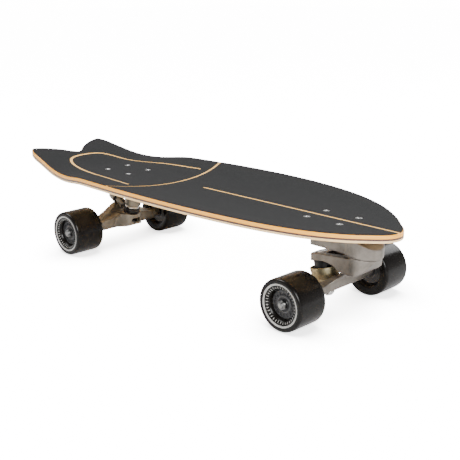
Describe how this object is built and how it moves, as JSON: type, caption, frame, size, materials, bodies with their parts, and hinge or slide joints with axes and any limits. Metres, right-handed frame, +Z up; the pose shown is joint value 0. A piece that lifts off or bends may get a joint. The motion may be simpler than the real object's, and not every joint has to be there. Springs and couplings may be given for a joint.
{
  "type": "surf skateboard",
  "caption": "Swallow-tailed surf skateboard with a maple deck, a spring-centred swing-arm front truck, a plain rear truck and wide soft wheels.",
  "frame": {"origin": "on the floor, under the middle of the whole board", "axes": "+X towards the nose, +Y to the rider's left, +Z up"},
  "size_m": [0.71, 0.2458, 0.1468],
  "materials": {
    "maple": "clear lacquer over maple",
    "dyed_maple": "dark dyed ply, lacquered",
    "pale_maple": "clear lacquer over pale maple",
    "grip_tape": "coarse black grit",
    "black_plastic": "moulded, fine grain",
    "core_plastic": "moulded, dark",
    "bright_steel": "bright zinc plate",
    "spring_steel": "dark spring steel",
    "yellow_zinc": "yellow zinc plate, slightly uneven",
    "grey_cast": "raw tumbled casting, warm grey",
    "brown_cast": "raw tumbled casting, brownish grey",
    "black_urethane": "cast urethane, satin",
    "wheel_urethane": "cast urethane, glossy"
  },
  "bodies": {
    "board": {"deck_top_plies": "maple", "deck_dyed_ply": "dyed_maple", "deck_bottom_plies": "pale_maple", "front_grip": "grip_tape", "rear_grip": "grip_tape", "front_riser": "black_plastic", "rear_riser": "black_plastic", "front_deck_bolt_1": "bright_steel", "front_deck_bolt_2": "bright_steel", "front_deck_bolt_3": "bright_steel", "front_deck_bolt_4": "bright_steel", "rear_deck_bolt_1": "bright_steel", "rear_deck_bolt_2": "bright_steel", "rear_deck_bolt_3": "bright_steel", "rear_deck_bolt_4": "bright_steel", "front_base_plate": "grey_cast", "front_spring_plunger": "bright_steel", "front_return_spring": "spring_steel", "rear_base_plate": "brown_cast", "rear_kingpin": "bright_steel", "rear_board_washer": "bright_steel", "rear_board_bushing": "black_urethane", "rear_road_bushing": "black_urethane", "rear_road_washer": "bright_steel", "rear_kingpin_nut": "bright_steel", "rear_pivot_cup": "black_plastic"},
    "swing_arm": {"front_swing_arm": "grey_cast", "front_pivot_bolt": "yellow_zinc", "front_thrust_ring": "bright_steel", "front_pivot_cup": "black_plastic", "front_kingpin": "bright_steel", "front_kingpin_nut": "bright_steel", "front_road_washer": "yellow_zinc", "front_board_bushing": "black_urethane", "front_road_bushing": "black_urethane"},
    "front_hanger": {"front_hanger": "grey_cast", "front_axle": "bright_steel", "front_bowl_cup": "yellow_zinc", "front_left_axle_nut": "bright_steel", "front_right_axle_nut": "bright_steel"},
    "rear_hanger": {"rear_hanger": "brown_cast", "rear_axle": "bright_steel", "rear_left_axle_nut": "bright_steel", "rear_right_axle_nut": "bright_steel"},
    "front_left_wheel": {"front_left_wheel_tyre": "wheel_urethane", "front_left_wheel_core": "core_plastic", "front_left_wheel_outer_bearing": "bright_steel", "front_left_wheel_inner_bearing": "bright_steel"},
    "front_right_wheel": {"front_right_wheel_tyre": "wheel_urethane", "front_right_wheel_core": "core_plastic", "front_right_wheel_outer_bearing": "bright_steel", "front_right_wheel_inner_bearing": "bright_steel"},
    "rear_left_wheel": {"rear_left_wheel_tyre": "wheel_urethane", "rear_left_wheel_core": "core_plastic", "rear_left_wheel_outer_bearing": "bright_steel", "rear_left_wheel_inner_bearing": "bright_steel"},
    "rear_right_wheel": {"rear_right_wheel_tyre": "wheel_urethane", "rear_right_wheel_core": "core_plastic", "rear_right_wheel_outer_bearing": "bright_steel", "rear_right_wheel_inner_bearing": "bright_steel"}
  },
  "joints": [
    {"name": "front_swing", "type": "hinge", "parent": "board", "child": "swing_arm", "pos_m": [0.3, 0, 0.0875], "axis": [0.1736, 0, 0.9848], "range_deg": [-25, 25], "stiffness_Nm_per_rad": 14, "deforming": ["front_return_spring"]},
    {"name": "front_lean", "type": "hinge", "parent": "swing_arm", "child": "front_hanger", "pos_m": [0.304, 0, 0.075], "axis": [0.879, 0, 0.4768], "range_deg": [-10, 10], "stiffness_Nm_per_rad": 60, "deforming": ["front_board_bushing", "front_road_bushing"]},
    {"name": "rear_lean", "type": "hinge", "parent": "board", "child": "rear_hanger", "pos_m": [-0.212, 0, 0.074], "axis": [-0.856, 0, 0.517], "range_deg": [-10, 10], "stiffness_Nm_per_rad": 60, "deforming": ["rear_board_bushing", "rear_road_bushing"]},
    {"name": "front_left_spin", "type": "hinge", "parent": "front_hanger", "child": "front_left_wheel", "pos_m": [0.2603, 0.0903, 0.035], "axis": [0, 1, 0], "continuous": true},
    {"name": "front_right_spin", "type": "hinge", "parent": "front_hanger", "child": "front_right_wheel", "pos_m": [0.2603, -0.0903, 0.035], "axis": [0, 1, 0], "continuous": true},
    {"name": "rear_left_spin", "type": "hinge", "parent": "rear_hanger", "child": "rear_left_wheel", "pos_m": [-0.1957, 0.093, 0.035], "axis": [0, 1, 0], "continuous": true},
    {"name": "rear_right_spin", "type": "hinge", "parent": "rear_hanger", "child": "rear_right_wheel", "pos_m": [-0.1957, -0.093, 0.035], "axis": [0, 1, 0], "continuous": true}
  ]
}
